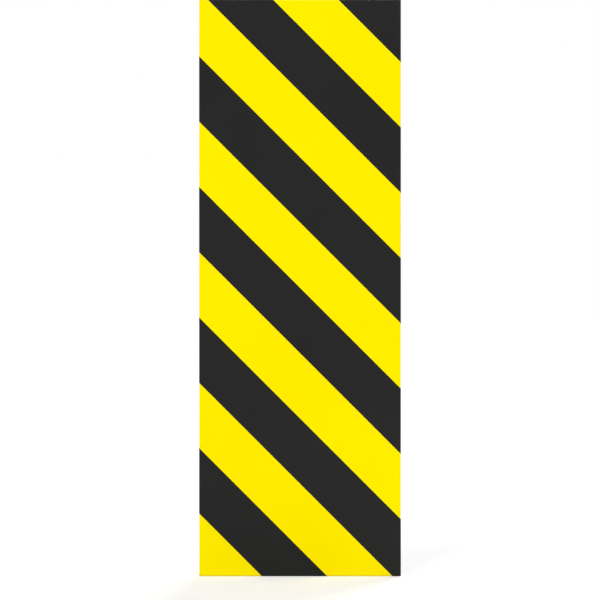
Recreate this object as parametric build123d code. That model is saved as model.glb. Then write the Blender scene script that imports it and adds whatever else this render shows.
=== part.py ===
from build123d import *

import math
import os

# Hazard marker sign for an upright round post.
# A steel pan with folded edges carries a striped reflective face. Two slotted rails are
# welded across its back, and a two-bolt clamp on each rail grips the post.
# Millimetres. +Z is up, the striped face looks along -Y and +X is the viewer's right.
# The origin is on the post's axis, at mid-height of the lower clamp.

# Finished sign, measured over its films
SIGN_WIDTH = 350.0
SIGN_HEIGHT = 1000.0

# Striped face
STRIPE_WIDTH = 80.0  # square across a stripe
STRIPE_FALL = 45.0  # degrees below the horizontal, towards the viewer's right
SHEETING = 0.4  # thickness of the yellow sheeting
STRIPE_FILM = 0.2  # thickness of the black films
FILM_WRAP = 8.0  # from the pan's front down its side to the films' free edge

# Folded pan
PAN_SHEET = 1.0
PAN_BEND = 1.0  # inside radius
FLANGE_DEPTH = 20.0  # outside, from the pan's front to the back of its lip
LIP_WIDTH = 12.0
CORNER_GAP = 0.6  # open joint between two folded edges

# Omega rails
RAIL_INSET = 200.0  # from the sign's top or bottom edge to a rail's centre line
RAIL_SHEET = 1.5
RAIL_BEND = 1.5  # inside radius
RAIL_PROUD = 2.0  # how far a rail stands behind the pan's lip
RAIL_WEB = 34.0
RAIL_FOOT = 15.0
RAIL_END_GAP = 8.0  # from a rail's end to the pan's lip
SLOT_WIDTH = 12.0
SLOT_END = 20.0  # web left whole past each end of the slot
WELD_DIAMETER = 6.0
WELD_DEPTH = 0.3
WELD_TAPER = 45.0  # degrees that a dimple's side leans
WELD_PITCH = 70.0
WELD_END = 12.0  # from a rail's end to the nearest weld, at least

# Post clamps
POST_DIAMETER = 76.0
CLAMP_WIDTH = 30.0  # along the post
POST_GAP = 3.0  # between the saddle's base and the post
SADDLE_SHEET = 3.0
SADDLE_BEND = 2.0  # inside radius
SADDLE_EDGE = 11.0  # from a bolt's centre to the end of the saddle
SEAT_ANGLE = 100.0  # arc of the post that the saddle's cheeks hold
CHEEK_SHOULDER = 6.0  # cheek left outside the arc
CHEEK_ROUND = 3.0
STRAP_SHEET = 3.0
STRAP_BEND = 3.0  # inside radius
STRAP_LEG = 3.0  # straight part between the half ring and the bend
EAR_EDGE = 11.0  # from a bolt's centre to the end of the strap's ear
EAR_ROUND = 6.0

# Fasteners
BOLT_DIAMETER = 8.0
HOLE_CLEARANCE = 1.0  # hole diameter over bolt diameter
THREAD_SHOWN = 5.4  # bolt left behind the nut
HEAD_LENGTH = 24.0  # across the rail's slot
HEAD_WIDTH = 11.0
HEAD_HEIGHT = 6.0
HEAD_ROUND = 4.0
WASHER_DIAMETER = 16.0
WASHER_SHEET = 1.6
WASHER_CLEARANCE = 0.4  # washer bore over bolt diameter
SPRING_DIAMETER = 14.0
SPRING_THICKNESS = 2.0
SPRING_SPLIT = 1.5
SPRING_SLANT = 25.0  # degrees that the split leans from the washer's axis
NUT_FLATS = 13.0
NUT_HEIGHT = 6.5
THREAD_CLEARANCE = 0.1  # nut bore over bolt diameter

# Places along Y, from the post's axis to the face
post_radius = POST_DIAMETER / 2
saddle_back = -(post_radius + POST_GAP)
rail_back = saddle_back - SADDLE_SHEET
rail_depth = FLANGE_DEPTH - PAN_SHEET + RAIL_PROUD
pan_back = rail_back - rail_depth
pan_front = pan_back - PAN_SHEET

# Places along X and Z
pan_half_width = SIGN_WIDTH / 2 - SHEETING - STRIPE_FILM
pan_half_height = SIGN_HEIGHT / 2 - SHEETING - STRIPE_FILM
sign_middle = SIGN_HEIGHT / 2 - RAIL_INSET
rail_length = 2 * (pan_half_width - LIP_WIDTH - RAIL_END_GAP)
slot_length = rail_length - 2 * SLOT_END
bolt_x = post_radius + STRAP_SHEET + STRAP_BEND + WASHER_DIAMETER / 2 + HOLE_CLEARANCE
clamp_heights = {"lower": 0.0, "upper": SIGN_HEIGHT - 2 * RAIL_INSET}
clamp_sides = {"left": -1, "right": 1}

# Stack on the bolts, from the strap's ears back to the bolt's tip
ear_back = -(STRAP_LEG + STRAP_BEND)
washer_back = ear_back + WASHER_SHEET
spring_back = washer_back + SPRING_THICKNESS
nut_back = spring_back + NUT_HEIGHT
bolt_tip = nut_back + THREAD_SHOWN
head_back = rail_back - RAIL_SHEET
hole_radius = (BOLT_DIAMETER + HOLE_CLEARANCE) / 2


def bent_section(points, bend, sheet):
    """Section of a bent sheet whose middle line runs through the points."""
    return trace(FilletPolyline(*points, radius=bend + sheet / 2), sheet)


def bent_bar(points, bend, sheet, length):
    """A bent sheet that runs along X. Its section is drawn as pairs of Z and Y."""
    section = Plane((0, 0, 0), x_dir=(0, 0, 1), z_dir=(-1, 0, 0)) * bent_section(points, bend, sheet)
    return extrude(section, amount=length / 2, both=True)


def along_y(radius, start, end):
    """A round bar on the Y axis."""
    return Pos(0, (start + end) / 2, 0) * Rot(90, 0, 0) * Cylinder(radius, end - start)


def ring_along_y(outer, bore, start, end):
    """A flat ring on the Y axis, from its two diameters."""
    return along_y(outer / 2, start, end) - along_y(bore / 2, start, end)


# Folded sheets: the pan and the films that wrap it


def folded_sheet(half_width, half_height, front, sheet, bend, fold_line):
    """A face with four folded edges, mitred at the corners.

    The fold line is the sheet's middle line past the face, as pairs of distance in from the
    sheet's outer edge and depth behind its front.
    """
    corner = bend + sheet
    lap = (2 * corner, sheet / 2)
    reach = max(inset for inset, depth in fold_line + [lap])
    shape = Pos(0, sheet / 2, 0) * Box(2 * (half_width - corner), sheet, 2 * (half_height - corner))
    for turn in range(4):
        half, run = (half_width, half_height) if turn % 2 == 0 else (half_height, half_width)
        line = [(half - inset, depth) for inset, depth in [lap] + fold_line]
        edge = extrude(bent_section(line, bend, sheet), amount=run, both=True)
        end = run - CORNER_GAP / math.sqrt(2)
        outline = Polygon(
            (half, end),
            (half - reach, end - reach),
            (half - reach, reach - end),
            (half, -end),
            align=None,
        )
        mitred = edge & extrude(Plane.XZ * outline, amount=FLANGE_DEPTH + FILM_WRAP, both=True)
        shape += Rot(0, -90 * turn, 0) * mitred
    return Pos(0, front, sign_middle) * shape


def film_skin(inside, thickness):
    """A film over the pan's face and folded edges, lying on a layer of the given thickness."""
    return folded_sheet(
        pan_half_width + inside + thickness,
        pan_half_height + inside + thickness,
        pan_front - inside - thickness,
        thickness,
        PAN_SHEET + PAN_BEND + inside,
        [(thickness / 2, thickness / 2), (thickness / 2, thickness + inside + FILM_WRAP)],
    )


def sign_pan():
    middle = PAN_SHEET / 2
    lip_depth = FLANGE_DEPTH - middle
    return folded_sheet(
        pan_half_width,
        pan_half_height,
        pan_front,
        PAN_SHEET,
        PAN_BEND,
        [(middle, middle), (middle, lip_depth), (LIP_WIDTH, lip_depth)],
    )


def stripe_band(index):
    """The slab that one stripe is cut by, counted upwards from the sign's centre."""
    slab = Box(SIGN_WIDTH + SIGN_HEIGHT, 2 * (FLANGE_DEPTH + FILM_WRAP), STRIPE_WIDTH)
    raised = Pos(0, 0, (index + 0.5) * STRIPE_WIDTH) * slab
    return Pos(0, pan_front, sign_middle) * Rot(0, STRIPE_FALL, 0) * raised


def black_stripes():
    """The black films from the top down. Yellow lies above the sign's centre, black below."""
    fall = math.radians(STRIPE_FALL)
    reach = (SIGN_WIDTH * math.sin(fall) + SIGN_HEIGHT * math.cos(fall)) / 2
    count = math.ceil(reach / STRIPE_WIDTH)
    skin = film_skin(SHEETING, STRIPE_FILM)
    return [skin & stripe_band(i) for i in reversed(range(-count, count)) if i % 2 == 1]


# Rails


def rail():
    """Omega rail, its back on the XZ plane, with a row of weld dimples along each foot."""
    middle = RAIL_SHEET / 2
    wall = RAIL_WEB / 2 - middle
    foot = RAIL_WEB / 2 + RAIL_FOOT
    half_line = [(foot, middle - rail_depth), (wall, middle - rail_depth), (wall, -middle)]
    line = half_line + [(-z, y) for z, y in reversed(half_line)]
    slot = extrude(Plane.XZ * SlotOverall(slot_length, SLOT_WIDTH), amount=rail_depth / 2, both=True)
    shape = bent_bar(line, RAIL_BEND, RAIL_SHEET, rail_length) - slot

    dimple_outline = Plane.XZ * RegularPolygon(WELD_DIAMETER / 2, 6)
    dimple = extrude(dimple_outline, amount=WELD_DEPTH, taper=WELD_TAPER)
    weld_y = RAIL_SHEET - rail_depth
    weld_z = RAIL_WEB / 2 + (RAIL_BEND + RAIL_FOOT) / 2
    count = math.floor((rail_length - 2 * WELD_END) / WELD_PITCH) + 1
    welds = [
        Pos((i - (count - 1) / 2) * WELD_PITCH, weld_y, side * weld_z) * dimple
        for i in range(count)
        for side in (-1, 1)
    ]
    return Pos(0, rail_back, 0) * (shape - welds)


# Post clamp


def saddle():
    """Channel-shaped seat: a base on the rail and two cheeks cut to the post's curve."""
    middle = SADDLE_SHEET / 2
    half = CLAMP_WIDTH / 2 - middle
    cheek_top = -post_radius * math.cos(math.radians(SEAT_ANGLE / 2))
    cheek_half = post_radius * math.sin(math.radians(SEAT_ANGLE / 2)) + CHEEK_SHOULDER
    base = rail_back + middle
    line = [(half, cheek_top), (half, base), (-half, base), (-half, cheek_top)]
    channel = bent_bar(line, SADDLE_BEND, SADDLE_SHEET, 2 * cheek_half)
    tops = channel.edges().filter_by(Axis.Z).group_by(Axis.Y)[-1]
    channel = fillet(tops, CHEEK_ROUND)

    tongue_width = CLAMP_WIDTH - 2 * (SADDLE_SHEET + SADDLE_BEND)
    tongue = Plane.XZ * SlotOverall(2 * (bolt_x + SADDLE_EDGE), tongue_width)
    shape = channel + Pos(0, saddle_back, 0) * extrude(tongue, amount=SADDLE_SHEET)
    for side in clamp_sides.values():
        shape -= Pos(side * bolt_x, 0, 0) * along_y(hole_radius, rail_back, saddle_back)
    return shape - Cylinder(post_radius, CLAMP_WIDTH)


def strap():
    """Half ring round the post's back, with straight legs and two drilled ears."""
    middle = STRAP_SHEET / 2
    leg_x = post_radius + middle
    ear_line = [(leg_x, 0), (leg_x, ear_back - middle), (bolt_x + EAR_EDGE, ear_back - middle)]
    leg = bent_section(ear_line, STRAP_BEND, STRAP_SHEET)
    outer = post_radius + STRAP_SHEET
    back_half = Pos(0, outer / 2, 0) * Rectangle(2 * outer, outer)
    half_ring = (Circle(outer) - Circle(post_radius)) & back_half
    shape = extrude(half_ring + leg + mirror(leg, about=Plane.YZ), amount=CLAMP_WIDTH / 2, both=True)
    corners = [e for e in shape.edges().filter_by(Axis.Y) if abs(e.center().X) > bolt_x]
    shape = fillet(corners, EAR_ROUND)
    for side in clamp_sides.values():
        shape -= Pos(side * bolt_x, 0, 0) * along_y(hole_radius, ear_back - STRAP_SHEET, ear_back)
    return shape


# Fasteners, each made on the Y axis


def t_bolt():
    """Hammer-head bolt: the head turns a quarter turn behind the rail's slot."""
    block = Pos(0, head_back - HEAD_HEIGHT / 2, 0) * Box(HEAD_WIDTH, HEAD_HEIGHT, HEAD_LENGTH)
    corners = [e for e in block.edges().filter_by(Axis.Y) if e.center().X * e.center().Z > 0]
    head = fillet(corners, HEAD_ROUND)
    return head + along_y(BOLT_DIAMETER / 2, head_back, bolt_tip)


def washer():
    return ring_along_y(WASHER_DIAMETER, BOLT_DIAMETER + WASHER_CLEARANCE, ear_back, washer_back)


def spring_washer():
    """Split lock washer, pressed flat, with a slanting split."""
    ring = ring_along_y(SPRING_DIAMETER, BOLT_DIAMETER + WASHER_CLEARANCE, washer_back, spring_back)
    blade = Box(SPRING_SPLIT, 4 * SPRING_THICKNESS, SPRING_DIAMETER)
    middle = (washer_back + spring_back) / 2
    return ring - Pos(0, middle, SPRING_DIAMETER / 2) * Rot(0, 0, SPRING_SLANT) * blade


def nut():
    """Hexagon nut."""
    hexagon = Plane.XZ * RegularPolygon(NUT_FLATS / 2, 6, major_radius=False)
    block = Pos(0, nut_back, 0) * extrude(hexagon, amount=NUT_HEIGHT)
    return block - along_y((BOLT_DIAMETER + THREAD_CLEARANCE) / 2, spring_back, nut_back)


# Assembly


def pair(shape):
    """The same fastener on both bolts of a clamp."""
    return Compound([Pos(side * bolt_x, 0, 0) * shape for side in clamp_sides.values()])


nodes = {"sign_pan": sign_pan(), "yellow_sheeting": film_skin(0.0, SHEETING)}
for number, stripe in enumerate(black_stripes(), start=1):
    nodes[f"black_stripe_{number}"] = stripe

clamp_pieces = {
    "rail": rail(),
    "saddle": saddle(),
    "strap": strap(),
    "t_bolts": pair(t_bolt()),
    "washers": pair(washer()),
    "spring_washers": pair(spring_washer()),
}
clamp_nut = nut()
for level, height in clamp_heights.items():
    for name, shape in clamp_pieces.items():
        nodes[f"{level}_{name}"] = Pos(0, 0, height) * shape
    for side, sign in clamp_sides.items():
        nodes[f"{level}_{side}_nut"] = Pos(sign * bolt_x, 0, height) * clamp_nut

os.makedirs("parts", exist_ok=True)
for name, shape in nodes.items():
    export_step(shape, f"parts/{name}.step")
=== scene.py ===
import math

import bmesh
import bpy
from mathutils import Matrix, Vector


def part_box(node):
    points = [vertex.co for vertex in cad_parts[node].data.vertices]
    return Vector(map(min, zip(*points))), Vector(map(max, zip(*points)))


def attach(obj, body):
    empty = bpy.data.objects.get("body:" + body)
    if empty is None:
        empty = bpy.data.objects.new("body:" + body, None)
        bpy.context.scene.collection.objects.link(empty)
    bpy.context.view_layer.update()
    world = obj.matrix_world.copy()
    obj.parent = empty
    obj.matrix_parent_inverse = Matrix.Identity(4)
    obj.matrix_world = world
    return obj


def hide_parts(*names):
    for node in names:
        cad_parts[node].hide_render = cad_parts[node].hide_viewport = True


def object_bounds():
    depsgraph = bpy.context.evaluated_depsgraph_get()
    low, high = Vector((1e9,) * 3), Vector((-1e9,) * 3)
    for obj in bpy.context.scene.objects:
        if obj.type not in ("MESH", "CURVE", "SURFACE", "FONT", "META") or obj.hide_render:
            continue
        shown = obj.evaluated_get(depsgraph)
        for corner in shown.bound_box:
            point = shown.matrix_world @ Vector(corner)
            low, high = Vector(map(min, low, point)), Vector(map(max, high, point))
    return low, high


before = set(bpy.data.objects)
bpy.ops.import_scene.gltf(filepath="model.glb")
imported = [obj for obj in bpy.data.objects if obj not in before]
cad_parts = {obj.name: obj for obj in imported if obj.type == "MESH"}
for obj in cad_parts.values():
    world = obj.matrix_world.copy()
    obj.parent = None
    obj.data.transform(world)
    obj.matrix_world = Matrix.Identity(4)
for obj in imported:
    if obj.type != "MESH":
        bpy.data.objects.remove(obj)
cad_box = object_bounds()

# Sign pan
# One galvanised steel sheet, folded back along its four edges, with a lip turned inwards and
# open mitres at the corners. Its zinc has frozen into spangles, each a crystal with its own grain.
# The crystals' greys are partly painted reflection, and a painted shade runs across each crystal with its
# lean.
pan_crystal = 0.011
pan_greys = (  # tone, and colour at that tone
    (0.0, (0.19, 0.20, 0.21)),
    (0.5, (0.30, 0.31, 0.325)),
    (1.0, (0.45, 0.465, 0.48)),
)
border_lumps = 1.5  # to a crystal
border_stray = 0.7  # of a crystal
border_line = 0.05  # of a crystal
border_tone = -0.1
# painted shade: how much lighter a crystal is painted on the side that it leans to
painted_slant_shade = 0.4  # to a unit of slant
ridge_rate = 110.0  # radians to a unit of slant
ridge_fray = 1.4  # radians
ridge_lump = 0.2  # of a crystal
ridge_tone = 0.035
cloud_size = 0.12
cloud_tone = 0.25
zinc_tones = (0.1, 1.15)  # sums of tones that are darkest and lightest
zinc_roughness = (0.3, 0.46)
crystal_lean = 0.12
ridge_lean = 0.06


def add_node(tree, kind, inputs, **settings):
    """Adds a shader node, fills its inputs with values or other nodes' outputs, and gives its outputs."""
    node = tree.nodes.new("ShaderNode" + kind)
    for setting, value in settings.items():
        setattr(node, setting, value)
    for socket, value in inputs.items():
        if isinstance(value, bpy.types.NodeSocket):
            tree.links.new(value, node.inputs[socket])
        else:
            node.inputs[socket].default_value = value
    return node.outputs


def calc(tree, operation, first, second=0.0, third=0.0):
    """One step of arithmetic on numbers."""
    return add_node(tree, "Math", {0: first, 1: second, 2: third}, operation=operation)["Value"]


def vector_calc(tree, operation, first, second=(0.0, 0.0, 0.0), output="Vector"):
    """One step of arithmetic on places or colours."""
    return add_node(tree, "VectorMath", {0: first, 1: second}, operation=operation)[output]


def spread(tree, factor, low, high, start=0.0, end=1.0):
    """Moves a number from the range low to high into the range start to end."""
    inputs = {"Value": factor, "From Min": low, "From Max": high, "To Min": start, "To Max": end}
    return add_node(tree, "MapRange", inputs)["Result"]


def clouds(tree, place, size, detail=3.0, low=0.3, high=0.7):
    """A cloudy number with lumps of about the given size: 0 in low noise and 1 in high noise."""
    noise = add_node(tree, "TexNoise", {"Vector": place, "Scale": 1.0 / size, "Detail": detail})
    return spread(tree, noise["Fac"], low, high)


def shade(tree, tone, colours):
    """Turns a tone into a colour, by a row of pairs of tone and colour."""
    node = tree.nodes.new("ShaderNodeValToRGB")
    tree.links.new(tone, node.inputs["Fac"])
    stops = node.color_ramp.elements
    for count, (position, colour) in enumerate(colours):
        stop = stops[count] if count < len(stops) else stops.new(position)
        stop.position = position
        stop.color = (*colour, 1.0)
    return node.outputs["Color"]


def new_finish(name, **constants):
    """A new finish with its shader's constant sockets set. Gives the finish, its nodes and its places."""
    finish = bpy.data.materials.new(name)
    finish.use_nodes = True
    tree = finish.node_tree
    for socket, value in constants.items():
        tree.nodes["Principled BSDF"].inputs[socket.replace("_", " ")].default_value = value
    return finish, tree, add_node(tree, "TexCoord", {})["Object"]


def lay_on(tree, colour, roughness, surface):
    """Leads a colour, a roughness and the way a surface faces to a finish's shader."""
    shader = tree.nodes["Principled BSDF"]
    tree.links.new(colour, shader.inputs["Base Color"])
    tree.links.new(roughness, shader.inputs["Roughness"])
    tree.links.new(surface, shader.inputs["Normal"])


def scaled(tree, vector, factor):
    """A vector made longer or shorter."""
    return add_node(tree, "VectorMath", {0: vector, "Scale": factor}, operation="SCALE")["Vector"]


def spangle(tree, place, crystal, greys):
    """Colour, roughness and facing of zinc spangle, with leaning crystals of about the given size."""
    lumps = {"Vector": place, "Scale": border_lumps / crystal, "Detail": 5.0}
    stray = add_node(tree, "TexNoise", lumps)["Color"]
    bent = vector_calc(tree, "ADD", place, scaled(tree, stray, border_stray * crystal))
    seeds = {"Vector": bent, "Scale": 1.0 / crystal}
    cells = add_node(tree, "TexVoronoi", seeds)
    border = add_node(tree, "TexVoronoi", seeds, feature="DISTANCE_TO_EDGE")["Distance"]
    facet = add_node(tree, "SeparateColor", {"Color": cells["Color"]})
    lean = vector_calc(tree, "SUBTRACT", cells["Color"], (0.5, 0.5, 0.5))
    from_seed = vector_calc(tree, "SUBTRACT", bent, cells["Position"])
    rise = vector_calc(tree, "DOT_PRODUCT", from_seed, lean, "Value")
    slant = calc(tree, "MULTIPLY", rise, 1.0 / crystal)
    frayed = calc(tree, "MULTIPLY", clouds(tree, place, ridge_lump * crystal), ridge_fray)
    ridges = calc(tree, "COSINE", calc(tree, "MULTIPLY_ADD", slant, ridge_rate, frayed))
    # Painted light: each crystal's grey stands partly for the light it reflects, and a painted shade runs
    # across it with its lean.
    tone = calc(tree, "MULTIPLY", calc(tree, "ADD", facet["Red"], facet["Green"]), 0.5)
    tone = calc(tree, "MULTIPLY_ADD", slant, painted_slant_shade, tone)
    tone = calc(tree, "MULTIPLY_ADD", ridges, ridge_tone, tone)
    tone = calc(tree, "MULTIPLY_ADD", clouds(tree, place, cloud_size, detail=5.0), cloud_tone, tone)
    tone = calc(tree, "ADD", tone, spread(tree, border, 0.0, border_line, border_tone, 0.0))
    colour = shade(tree, spread(tree, tone, *zinc_tones), greys)
    roughness = spread(tree, facet["Blue"], 0.0, 1.0, *zinc_roughness)
    leaning = scaled(tree, lean, calc(tree, "MULTIPLY_ADD", ridges, ridge_lean, crystal_lean))
    upright = add_node(tree, "NewGeometry", {})["Normal"]
    facing = vector_calc(tree, "NORMALIZE", vector_calc(tree, "ADD", upright, leaning))
    return colour, roughness, facing


def dress(piece, finish):
    """Gives a piece one finish all over."""
    piece.data.materials.clear()
    piece.data.materials.append(finish)


pan_zinc, tree, place = new_finish("pan_zinc", Metallic=1.0)
lay_on(tree, *spangle(tree, place, pan_crystal, pan_greys))
dress(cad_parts["sign_pan"], pan_zinc)

# Omega rails
# Two rails pressed from galvanised strip, each with one long slot, spot welded across the pan's back.
# Each weld leaves a round electrode print, with the zinc around it burnt to blue, brown and straw.
levels = ("lower", "upper")
rail_sheet = 0.0015
rail_ease = 0.00025
ease_steps = 2
merge_reach = 1e-6  # points nearer to each other than this are one
flat_angle = math.radians(1.0)  # faces that meet at less than this are one
smooth_angle = math.radians(28.0)  # edges that turn by less than this look smooth
sharp_angle = math.radians(60.0)  # edges that turn by more than this are eased
rail_crystal = 0.006
rail_greys = (
    (0.0, (0.24, 0.25, 0.26)),
    (0.5, (0.32, 0.33, 0.345)),
    (1.0, (0.42, 0.435, 0.45)),
)
weld_pitch = 0.070
weld_row = 0.02525  # from a rail's centre line
weld_count = 5
weld_reach = 0.009
rag_size = 0.004
rag_depth = 0.0012
burn_colours = (  # share of the weld's reach, and tint of the zinc there
    (0.0, (0.90, 0.88, 0.86)),
    (0.34, (0.74, 0.71, 0.68)),
    (0.43, (0.48, 0.46, 0.48)),
    (0.52, (0.45, 0.46, 0.56)),
    (0.62, (0.58, 0.48, 0.44)),
    (0.76, (0.86, 0.76, 0.60)),
    (1.0, (1.0, 1.0, 1.0)),
)
print_steps = 28
print_outline = (  # radius, and height over the rail's foot
    (0.0, -0.00012),
    (0.0021, -0.00012),
    (0.0027, -0.00002),
    (0.0031, 0.00009),
    (0.0034, 0.00010),
    (0.0038, 0.00004),
    (0.0042, -0.0001),
    (0.0042, -0.0005),
    (0.0, -0.0005),
)


def bevel(shape, edges, width, segments):
    """Rounds edges off."""
    bmesh.ops.bevel(
        shape, geom=edges, offset=width, affect="EDGES", segments=segments, profile=0.5, material=-1
    )


def eased_copy(node, ease):
    """A copy of a solid's mesh with its facets joined and its outward edges eased by a small round."""
    shape = bmesh.new()
    shape.from_mesh(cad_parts[node].data)
    bmesh.ops.remove_doubles(shape, verts=shape.verts, dist=merge_reach)
    bmesh.ops.dissolve_limit(shape, angle_limit=flat_angle, verts=shape.verts, edges=shape.edges)
    sharp = [edge for edge in shape.edges if edge.is_convex and edge.calc_face_angle() > sharp_angle]
    bevel(shape, sharp, ease, ease_steps)
    return shape


def turn_round(shape, outline, sweep=math.tau, steps=48):
    """Spins an outline of pairs of radius and Y about the Y axis.
    The outline is closed first, unless it starts on the axis."""
    rim = [shape.verts.new((radius, y, 0.0)) for radius, y in outline]
    pairs = list(zip(rim, rim[1:]))
    if outline[0][0] > 0.0:
        pairs.append((rim[-1], rim[0]))
    edges = [shape.edges.new(pair) for pair in pairs]
    full = sweep == math.tau
    bmesh.ops.spin(
        shape, geom=rim + edges, cent=(0, 0, 0), axis=(0, 1, 0), angle=sweep, steps=steps, use_merge=full
    )
    bmesh.ops.remove_doubles(shape, verts=shape.verts, dist=merge_reach)


def as_mesh(shape, name):
    """Turns a finished shape into a mesh, smooth over its curves and crisp at its edges."""
    for face in shape.faces:
        face.smooth = True
    for edge in shape.edges:
        edge.smooth = edge.calc_face_angle(0.0) < smooth_angle
    mesh = bpy.data.meshes.new(name)
    shape.to_mesh(mesh)
    shape.free()
    if "custom_normal" in mesh.attributes:
        mesh.attributes.remove(mesh.attributes["custom_normal"])
    return mesh


def add_piece(shape, name):
    """Adds a finished shape to the scene as a piece."""
    piece = bpy.data.objects.new(name, as_mesh(shape, name))
    bpy.context.scene.collection.objects.link(piece)
    return piece


def set_out(mesh, name, places):
    """One piece made of copies of a mesh, one at each place."""
    shape = bmesh.new()
    for place in places:
        before = len(shape.verts)
        shape.from_mesh(mesh)
        bmesh.ops.translate(shape, verts=list(shape.verts)[before:], vec=place)
    return add_piece(shape, name)


def stand_in(piece, node, body, finish):
    """Lets a piece stand for a solid: it is finished, rides on the solid's body and hides it."""
    dress(piece, finish)
    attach(piece, body)
    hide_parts(node)


rail_zinc, tree, place = new_finish("rail_zinc", Metallic=1.0)
# The rails' spangle carries the same painted reflection and painted shade across each leaning crystal as
# the pan's.
colour, roughness, facing = spangle(tree, place, rail_crystal, rail_greys)
rail_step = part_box("upper_rail")[0].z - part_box("lower_rail")[0].z
axes = add_node(tree, "SeparateXYZ", {"Vector": place})
along = calc(tree, "WRAP", axes["X"], weld_pitch / 2, -weld_pitch / 2)
height = calc(tree, "WRAP", axes["Z"], rail_step / 2, -rail_step / 2)
aside = calc(tree, "SUBTRACT", calc(tree, "ABSOLUTE", height), weld_row)
square = calc(tree, "MULTIPLY_ADD", along, along, calc(tree, "MULTIPLY", aside, aside))
from_weld = calc(tree, "SQRT", square)
ragged = calc(tree, "MULTIPLY_ADD", clouds(tree, place, rag_size), rag_depth, from_weld)
burn = shade(tree, spread(tree, ragged, 0.0, weld_reach), burn_colours)
lay_on(tree, vector_calc(tree, "MULTIPLY", colour, burn), roughness, facing)

shape = bmesh.new()
turn_round(shape, print_outline, steps=print_steps)
bmesh.ops.recalc_face_normals(shape, faces=shape.faces)
weld_print = as_mesh(shape, "weld_print")
for level in levels:
    rail = add_piece(eased_copy(f"{level}_rail", rail_ease), f"{level}_eased_rail")
    stand_in(rail, f"{level}_rail", "sign_panel", rail_zinc)
    low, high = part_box(f"{level}_rail")
    places = []
    for count in range(weld_count):
        for row in (-weld_row, weld_row):
            x = (count - (weld_count - 1) / 2) * weld_pitch
            places.append((x, low.y + rail_sheet, (low.z + high.z) / 2 + row))
    prints = set_out(weld_print, f"{level}_weld_prints", places)
    dress(prints, rail_zinc)
    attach(prints, "sign_panel")

# Yellow sheeting
# One sheet of yellow retroreflective sheeting, pressed on and rolled over the folded edges.
# A honeycomb of sealed cells lies under its clear skin.
cell_width = 0.0042
wall_foot = -0.55  # of the sum of the waves, where a cell's wall begins
wall_top = -1.1  # of the sum of the waves, where the wall is whole
sheeting_relief = 0.000016
film_roughness = (0.28, 0.36)
yellow_cloud = 0.16
yellow_walls = 0.55  # the walls' share of the tone
yellows = (
    (0.0, (0.93, 0.76, 0.0)),
    (1.0, (0.97, 0.81, 0.0)),
)


def honeycomb(tree, place):
    """Cell walls of the sheeting's honeycomb, unrolled from the folds: 1 on a wall and 0 inside a cell."""
    upright = add_node(tree, "TexCoord", {})["Normal"]
    behind = calc(tree, "SUBTRACT", add_node(tree, "SeparateXYZ", {"Vector": place})["Y"], cad_box[0].y)
    unrolled = vector_calc(tree, "ADD", place, scaled(tree, upright, behind))
    rate = 4.0 * math.pi / (math.sqrt(3.0) * cell_width)
    total = 0.0
    for count in range(3):
        turn = count * math.tau / 6
        direction = (rate * math.cos(turn), 0.0, rate * math.sin(turn))
        wave = calc(tree, "COSINE", vector_calc(tree, "DOT_PRODUCT", unrolled, direction, "Value"))
        total = calc(tree, "ADD", wave, total)
    return spread(tree, total, wall_foot, wall_top)


def relief(tree, height, depth):
    """A surface with a relief of the given depth."""
    return add_node(tree, "Bump", {"Height": height, "Distance": depth})["Normal"]


def film_finish(name, colours, cloud, wall_share, **constants):
    """A film over the honeycomb. Its tone drifts in clouds and is lighter on the cells' walls."""
    finish, tree, place = new_finish(name, **constants)
    walls = honeycomb(tree, place)
    drift = calc(tree, "MULTIPLY", clouds(tree, place, cloud, detail=5.0), 1.0 - wall_share)
    tone = calc(tree, "MULTIPLY_ADD", walls, wall_share, drift)
    roughness = spread(tree, tone, 0.0, 1.0, *film_roughness)
    lay_on(tree, shade(tree, tone, colours), roughness, relief(tree, walls, sheeting_relief))
    return finish


yellow_film = film_finish(
    "yellow_film",
    yellows,
    yellow_cloud,
    yellow_walls,
    Specular_IOR_Level=0.3,
    Specular_Tint=(1.0, 0.82, 0.0, 1.0),
)
dress(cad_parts["yellow_sheeting"], yellow_film)

# Black stripes
# Six cut strips of black opaque film, laid on the yellow sheeting and wrapped with it.
# The sheeting's honeycomb shows through as a faint relief.
black_cloud = 0.14
black_walls = 0.4  # the walls' share of the tone
blacks = (
    (0.0, (0.0035, 0.0035, 0.0035)),
    (1.0, (0.0065, 0.0065, 0.0065)),
)
black_film = film_finish("black_film", blacks, black_cloud, black_walls, Specular_IOR_Level=0.2)
for name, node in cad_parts.items():
    if name.startswith("black_stripe"):
        dress(node, black_film)

# T-head bolts
# Zinc-plated steel bolts with a flat hammer head that slides inside the rail. The thread is rolled,
# so it stands proud of the core it was pressed up from, and the tip is chamfered.
bolt_sides = ("left", "right")
bolt_radius = 0.004
thread_pitch = 0.00125
thread_core = 0.00325
thread_crest = 0.00397
thread_tooth = (  # radius, and share of the pitch
    (thread_core, 0.0),
    (thread_core, 0.25),
    (thread_crest, 0.5625),
    (thread_crest, 0.6875),
    (thread_core, 1.0),
)
thread_steps = 28
plain_turns = 0.5  # turns of plain shank before the thread grows out of it
tip_radius = 0.0029
head_round = 0.004
head_steps = 8
head_ease = 0.0004
bolt_bloom = 0.006
bolt_pit = 0.0006
pit_depth = 0.000006
bolt_roughness = (0.2, 0.34)
bolt_colours = (
    (0.0, (0.40, 0.45, 0.52)),
    (0.5, (0.52, 0.53, 0.54)),
    (1.0, (0.58, 0.53, 0.42)),
)


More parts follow.
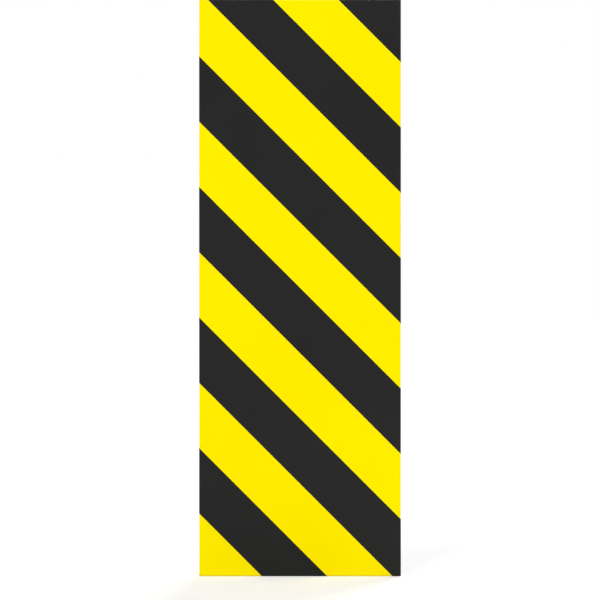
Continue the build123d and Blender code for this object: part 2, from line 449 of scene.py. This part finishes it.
def hammer_head(low, high):
    """A bolt's head between two corners, open at the back.
    It is rounded at the corners that lead as it turns."""
    shape = bmesh.new()
    middle = Matrix.Translation((low + high) / 2)
    bmesh.ops.create_cube(shape, size=1.0, matrix=middle @ Matrix.Diagonal((*(high - low), 1.0)))
    leading = []
    for edge in shape.edges:
        start, end = (vert.co for vert in edge.verts)
        if start.x == end.x and start.z == end.z and start.x * start.z > 0.0:
            leading.append(edge)
    bevel(shape, leading, head_round, head_steps)
    sharp = [edge for edge in shape.edges if edge.calc_face_angle() > sharp_angle]
    bevel(shape, sharp, head_ease, ease_steps)
    back = max(shape.faces, key=lambda face: face.calc_center_median().y)
    bmesh.ops.delete(shape, geom=[back], context="FACES_ONLY")
    return shape


def open_edges(shape):
    """The edges round a shape's openings."""
    return [edge for edge in shape.edges if edge.is_boundary]


def cut_off(shape, y, **side):
    """Cuts a shape square to the Y axis and clears one side of it. Gives the edges round the cut."""
    everything = list(shape.verts) + list(shape.edges) + list(shape.faces)
    cut = bmesh.ops.bisect_plane(
        shape, geom=everything, dist=merge_reach, plane_co=(0.0, y, 0.0), plane_no=(0.0, 1.0, 0.0), **side
    )
    return [item for item in cut["geom_cut"] if isinstance(item, bmesh.types.BMEdge)]


def thread(start, end):
    """A rolled thread on the Y axis, with a chamfered tip.
    It grows out of a plain shank, which is open at its start."""
    shape = bmesh.new()
    rim = []
    for radius, share in thread_tooth:
        rim.append(shape.verts.new((radius, start + (share - 1.0) * thread_pitch, 0.0)))
    edges = [shape.edges.new(pair) for pair in zip(rim, rim[1:])]
    bmesh.ops.spin(
        shape,
        geom=rim + edges,
        cent=(0, 0, 0),
        axis=(0, 1, 0),
        dvec=(0.0, thread_pitch / thread_steps, 0.0),
        angle=math.tau,
        steps=thread_steps,
    )
    turn = list(shape.verts) + list(shape.edges) + list(shape.faces)
    for count in range(1, math.ceil((end - start) / thread_pitch) + 1):
        copy = bmesh.ops.duplicate(shape, geom=turn)["geom"]
        verts = [item for item in copy if isinstance(item, bmesh.types.BMVert)]
        bmesh.ops.translate(shape, verts=verts, vec=(0.0, count * thread_pitch, 0.0))
    bmesh.ops.remove_doubles(shape, verts=shape.verts, dist=merge_reach)
    for vert in shape.verts:
        full = math.hypot(vert.co.x, vert.co.z)
        growth = max(0.0, min(1.0, (vert.co.y - start) / thread_pitch - plain_turns))
        radius = min(bolt_radius + growth * (full - bolt_radius), tip_radius + end - vert.co.y)
        vert.co = (vert.co.x * radius / full, vert.co.y, vert.co.z * radius / full)
    cut_off(shape, start, clear_inner=True)
    bmesh.ops.holes_fill(shape, edges=cut_off(shape, end, clear_outer=True))
    return shape


bolt_zinc, tree, place = new_finish("bolt_zinc", Metallic=1.0)
colour = shade(tree, clouds(tree, place, bolt_bloom), bolt_colours)
pits = clouds(tree, place, bolt_pit, detail=2.0)
lay_on(tree, colour, spread(tree, pits, 0.0, 1.0, *bolt_roughness), relief(tree, pits, pit_depth))

bolt_places = {}
for level in levels:
    bolt_places[level] = {}
    for side in bolt_sides:
        low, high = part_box(f"{level}_{side}_nut")
        bolt_places[level][side] = Vector(((low.x + high.x) / 2, 0.0, (low.z + high.z) / 2))
low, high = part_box("lower_t_bolts")
neck_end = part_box("lower_saddle")[0].y
head_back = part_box("lower_rail")[1].y - rail_sheet
head_corner = Vector((high.x - bolt_places["lower"]["right"].x, head_back, high.z))
shape = thread(neck_end, high.y)
neck = bmesh.ops.extrude_edge_only(shape, edges=open_edges(shape))["geom"]
neck_verts = [item for item in neck if isinstance(item, bmesh.types.BMVert)]
bmesh.ops.translate(shape, verts=neck_verts, vec=(0.0, head_back - neck_end, 0.0))
head = hammer_head(Vector((-head_corner.x, low.y, -head_corner.z)), head_corner)
shape.from_mesh(as_mesh(head, "head"))
bmesh.ops.triangle_fill(shape, edges=open_edges(shape), use_beauty=True)
bmesh.ops.recalc_face_normals(shape, faces=shape.faces)
bolt = as_mesh(shape, "bolt")
for level in levels:
    bolts = set_out(bolt, f"{level}_threaded_bolts", bolt_places[level].values())
    stand_in(bolts, f"{level}_t_bolts", f"{level}_clamp", bolt_zinc)

# Saddles
# Pressed steel channels that seat the post on the rails, dipped in zinc after pressing.
# The dipped zinc is duller than the sheet's, clouded and slightly rough, and rubbed bright at its edges.
clamp_ease = 0.0004
slide_gap = 0.00002  # air between a saddle and the rail that it slides on
clamp_cloud = 0.022
clamp_blot = 0.004
clamp_grit = 0.0009
cloud_share = 0.6
blot_share = 0.4
grit_share = 0.3
grit_depth = 0.00005
clamp_sums = (0.1, 1.2)  # sums of the shares that are darkest and lightest
clamp_tones = (0.0, 0.7)  # their tones, with room above them for rubbed zinc
clamp_greys = (
    (0.0, (0.27, 0.275, 0.28)),
    (0.35, (0.38, 0.387, 0.395)),
    (0.7, (0.50, 0.507, 0.515)),
    (1.0, (0.80, 0.805, 0.81)),
)
clamp_roughness = (0.38, 0.6)
rub_width = 0.002
rub_patch = 0.009
rub_turns = (0.995, 0.9)  # cosines of an edge's turn, where it is first rubbed and where it is bright
rub_polish = -0.24


def rubbed_edges(tree, place):
    """1 where handling has rubbed a piece's edges bright, in patches, and 0 away from them."""
    rounded = add_node(tree, "Bevel", {"Radius": rub_width}, samples=6)["Normal"]
    upright = add_node(tree, "NewGeometry", {})["Normal"]
    turned = vector_calc(tree, "DOT_PRODUCT", rounded, upright, "Value")
    return calc(tree, "MULTIPLY", spread(tree, turned, *rub_turns), clouds(tree, place, rub_patch))


clamp_zinc, tree, place = new_finish("clamp_zinc", Metallic=1.0)
blots = calc(tree, "MULTIPLY", clouds(tree, place, clamp_cloud, detail=6.0), cloud_share)
blots = calc(tree, "MULTIPLY_ADD", clouds(tree, place, clamp_blot), blot_share, blots)
grit = calc(tree, "MULTIPLY_ADD", clouds(tree, place, clamp_grit, detail=2.0), grit_share, blots)
rubbed = rubbed_edges(tree, place)
tone = calc(tree, "ADD", rubbed, spread(tree, grit, *clamp_sums, *clamp_tones))
dull = spread(tree, blots, 0.0, 1.0, *clamp_roughness)
roughness = calc(tree, "MULTIPLY_ADD", rubbed, rub_polish, dull)
lay_on(tree, shade(tree, tone, clamp_greys), roughness, relief(tree, grit, grit_depth))
for level in levels:
    shape = eased_copy(f"{level}_saddle", clamp_ease)
    low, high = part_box(f"{level}_saddle")
    for vert in shape.verts:
        vert.co.y = max(vert.co.y, low.y + slide_gap)
    saddle = add_piece(shape, f"{level}_eased_saddle")
    stand_in(saddle, f"{level}_saddle", f"{level}_clamp", clamp_zinc)

# Straps
# Flat steel bars bent to a half ring with two drilled ears, dipped in zinc like the saddles.
# The ears stand off the saddle, so the bolts pull the strap tight round the post.
for level in levels:
    strap = add_piece(eased_copy(f"{level}_strap", clamp_ease), f"{level}_eased_strap")
    stand_in(strap, f"{level}_strap", f"{level}_clamp_strap", clamp_zinc)

# Flat washers
# Punched from steel strip and zinc plated. The punch rounds the edges of the face that it enters.
# They spread the nut's load over the strap's ear.
washer_bore = 0.0042
washer_ease = 0.0003
low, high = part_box("lower_washers")
washer_rim = high.x - bolt_places["lower"]["right"].x
washer_outline = (
    (washer_bore, low.y),
    (washer_rim, low.y),
    (washer_rim, high.y - washer_ease),
    (washer_rim - washer_ease, high.y),
    (washer_bore + washer_ease, high.y),
    (washer_bore, high.y - washer_ease),
)
shape = bmesh.new()
turn_round(shape, washer_outline)
bmesh.ops.recalc_face_normals(shape, faces=shape.faces)
washer = as_mesh(shape, "washer")
for level in levels:
    washers = set_out(washer, f"{level}_punched_washers", bolt_places[level].values())
    stand_in(washers, f"{level}_washers", f"{level}_clamp_strap", bolt_zinc)

# Spring washers
# One coil of square spring steel wire each, oil black, pressed flat under the nut.
# The slanting cut ends bite into the nut and the washer.
split_gap = 0.0015
split_slant = math.radians(25.0)
spring_ease = 0.00025
scale_mark = 0.002
scale_depth = 0.000005
spring_roughness = (0.3, 0.48)
spring_colours = (
    (0.0, (0.07, 0.072, 0.078)),
    (1.0, (0.15, 0.153, 0.16)),
)
low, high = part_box("lower_spring_washers")
spring_rim = high.x - bolt_places["lower"]["right"].x
spring_outline = (
    (washer_bore + spring_ease, low.y),
    (spring_rim - spring_ease, low.y),
    (spring_rim, low.y + spring_ease),
    (spring_rim, high.y - spring_ease),
    (spring_rim - spring_ease, high.y),
    (washer_bore + spring_ease, high.y),
    (washer_bore, high.y - spring_ease),
    (washer_bore, low.y + spring_ease),
)
wire_radius = (spring_rim + washer_bore) / 2
shape = bmesh.new()
turn_round(shape, spring_outline, sweep=math.tau - split_gap / wire_radius)
bmesh.ops.holes_fill(shape, edges=open_edges(shape))
for vert in shape.verts:
    lean = (vert.co.y - (low.y + high.y) / 2) * math.tan(split_slant) / wire_radius
    vert.co = Matrix.Rotation(lean - math.pi / 2, 3, "Y") @ vert.co
bmesh.ops.recalc_face_normals(shape, faces=shape.faces)
spring = as_mesh(shape, "spring")

spring_black, tree, place = new_finish("spring_black", Metallic=1.0)
marks = clouds(tree, place, scale_mark, detail=4.0)
roughness = spread(tree, marks, 0.0, 1.0, *spring_roughness)
lay_on(tree, shade(tree, marks, spring_colours), roughness, relief(tree, marks, scale_depth))
for level in levels:
    springs = set_out(spring, f"{level}_split_washers", bolt_places[level].values())
    stand_in(springs, f"{level}_spring_washers", f"{level}_clamp_strap", spring_black)

# Hexagon nuts
# Zinc-plated steel nuts, cold forged. Their corners are turned off at both faces, and the bore is
# countersunk where the bolt enters and leaves.
nut_steps = 72
nut_bore = 0.00405
nut_countersink = 0.0004
nut_face = 0.97  # share of the width across flats
nut_slope = math.tan(math.radians(28.0))
low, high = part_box("lower_left_nut")
half_flats = (high.z - low.z) / 2


def add_ring(shape, radius_at, y_at):
    """A ring of edges about the Y axis. Its radius comes from the direction, and its Y from the radius."""
    rim = bmesh.ops.create_circle(shape, segments=nut_steps, radius=1.0)["verts"]
    for vert in rim:
        direction = math.atan2(vert.co.y, vert.co.x)
        radius = radius_at(direction)
        vert.co = (radius * math.cos(direction), y_at(radius), radius * math.sin(direction))
    return list({edge for vert in rim for edge in vert.link_edges})


def circle(shape, radius, y):
    """A round ring, square to the Y axis."""
    return add_ring(shape, lambda direction: radius, lambda radius: y)


def hexagon(shape, y, inwards):
    """The edge where a nut's sides meet the cone that turns its corners off."""
    sixth = math.tau / 6
    return add_ring(
        shape,
        lambda direction: half_flats / math.cos(direction % sixth - sixth / 2),
        lambda radius: y + inwards * (radius - nut_face * half_flats) * nut_slope,
    )


shape = bmesh.new()
rings = [
    circle(shape, nut_bore, low.y + nut_countersink),
    circle(shape, nut_bore + nut_countersink, low.y),
    circle(shape, nut_face * half_flats, low.y),
    hexagon(shape, low.y, 1.0),
    hexagon(shape, high.y, -1.0),
    circle(shape, nut_face * half_flats, high.y),
    circle(shape, nut_bore + nut_countersink, high.y),
    circle(shape, nut_bore, high.y - nut_countersink),
]
for ring, next_ring in zip(rings, rings[1:] + rings[:1]):
    bmesh.ops.bridge_loops(shape, edges=ring + next_ring)
bmesh.ops.recalc_face_normals(shape, faces=shape.faces)
nut = as_mesh(shape, "nut")
for level in levels:
    for side, bolt_place in bolt_places[level].items():
        forged_nut = set_out(nut, f"{level}_{side}_forged_nut", [bolt_place])
        stand_in(forged_nut, f"{level}_{side}_nut", f"{level}_{side}_nut", bolt_zinc)

# Floor
# A plain white floor under the sign's lower edge. It keeps the sign's soft shadow.
floor_side = 60.0
floor_gap = 0.0002
floor_grey = 0.86
floor_lift = 0.2  # added where the floor is seen, so that it runs into the white surround
floor_white, tree, place = new_finish(
    "floor_white",
    Base_Color=(floor_grey, floor_grey, floor_grey, 1.0),
    Roughness=1.0,
    Specular_IOR_Level=0.0,
    Emission_Color=(1.0, 1.0, 1.0, 1.0),
)


def background_rays(tree):
    """1 for rays that show the background to the eye, mirrored or through glass, and 0 for light."""
    rays = add_node(tree, "LightPath", {})
    seen = calc(tree, "MAXIMUM", rays["Is Camera Ray"], rays["Is Glossy Ray"])
    return calc(tree, "MAXIMUM", seen, rays["Is Transmission Ray"])


lift = calc(tree, "MULTIPLY", background_rays(tree), floor_lift)
tree.links.new(lift, tree.nodes["Principled BSDF"].inputs["Emission Strength"])
shape = bmesh.new()
level_place = Matrix.Translation((0.0, 0.0, cad_box[0].z - floor_gap))
bmesh.ops.create_grid(shape, size=floor_side / 2, matrix=level_place)
floor = add_piece(shape, "floor")
dress(floor, floor_white)

# Studio light
# An even white surround and three broad soft lamps, two before the sign and one behind it.
surround_level = 0.42  # as light on the sign, while the surround itself is seen as white
lamp_spread = math.radians(30.0)
lamps = (  # name, azimuth and elevation in degrees, strength
    ("key_lamp", -38.0, 42.0, 1.4),
    ("fill_lamp", 52.0, 30.0, 0.8),
    ("back_lamp", 158.0, 42.0, 1.7),
)
surround = bpy.data.worlds.new("white_surround")
surround.use_nodes = True
tree = surround.node_tree
background = tree.nodes["Background"]
background.inputs["Color"].default_value = (1.0, 1.0, 1.0, 1.0)
strength = calc(tree, "MULTIPLY_ADD", background_rays(tree), 1.0 - surround_level, surround_level)
tree.links.new(strength, background.inputs["Strength"])
bpy.context.scene.world = surround
for name, azimuth, elevation, strength in lamps:
    lamp = bpy.data.lights.new(name, "SUN")
    lamp.energy = strength
    lamp.angle = lamp_spread
    holder = bpy.data.objects.new(name, lamp)
    about = Matrix.Rotation(math.radians(azimuth), 3, "Z")
    down = Matrix.Rotation(-math.radians(elevation), 3, "X")
    aim = about @ down @ Vector((0.0, 1.0, 0.0))
    holder.rotation_mode = "QUATERNION"
    holder.rotation_quaternion = aim.to_track_quat("-Z", "Y")
    bpy.context.scene.collection.objects.link(holder)
bpy.context.scene.view_settings.view_transform = "Standard"

# Camera
# Square on to the striped face, so far off that the sign fills the picture as it does in the photo.
picture_side = 600.0  # pixels
sign_top = -0.5  # pixels: the picture ends at the sign's top edge and leaves no line of white above it
sign_bottom = 576.1  # pixels
outline_depth = 0.0026  # from the face back to where the wrapped edges turn straight
camera_lens = 100.0
low, high = cad_box
pixel = (high.z - low.z) / (sign_bottom - sign_top)
camera = bpy.data.cameras.new("camera")
camera.lens = camera_lens
distance = picture_side * pixel * camera_lens / camera.sensor_width
holder = bpy.data.objects.new("camera", camera)
holder.location = (
    (low.x + high.x) / 2,
    low.y + outline_depth - distance,
    high.z - (picture_side / 2 - sign_top) * pixel,
)
holder.rotation_euler = (math.radians(90.0), 0.0, 0.0)
bpy.context.scene.collection.objects.link(holder)
bpy.context.scene.camera = holder
